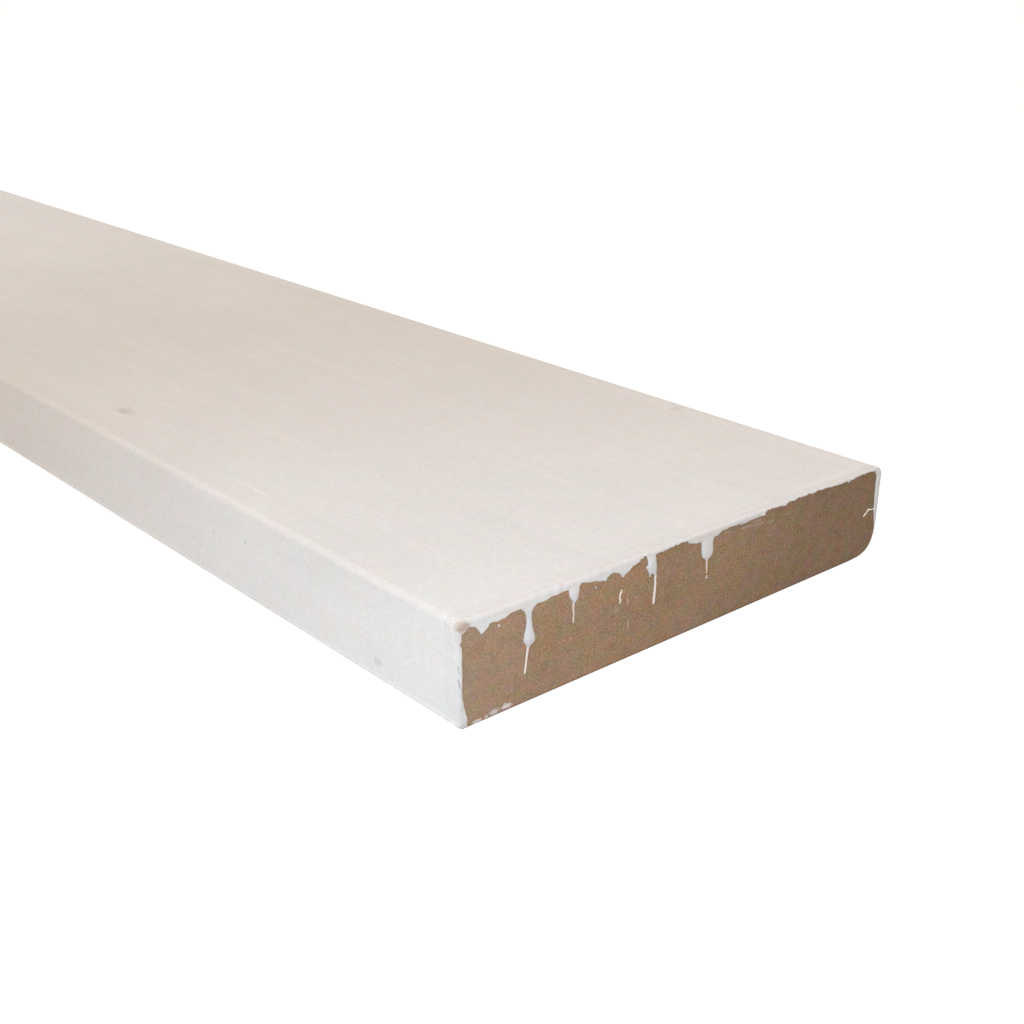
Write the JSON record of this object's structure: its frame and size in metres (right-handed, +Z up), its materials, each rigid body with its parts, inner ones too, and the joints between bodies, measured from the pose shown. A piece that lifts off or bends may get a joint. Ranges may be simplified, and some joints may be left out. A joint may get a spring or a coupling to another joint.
{
  "type": "mdf header trim",
  "caption": "Flat primed MDF header board for the trim over a door or window, with sawn ends, lightly broken edges and one softly rounded long edge.",
  "frame": {"origin": "middle of the wide face that the board lies on, halfway along its length", "axes": "+X along the length towards the sawn end with the paint runs, +Y across the wide faces towards the eased edge, +Z up through the thickness"},
  "size_m": [2.4384, 0.1396, 0.0238],
  "materials": {
    "white_primer": "matte",
    "bare_mdf": "matte"
  },
  "bodies": {
    "root": {"header_board": "white_primer"}
  },
  "joints": []
}
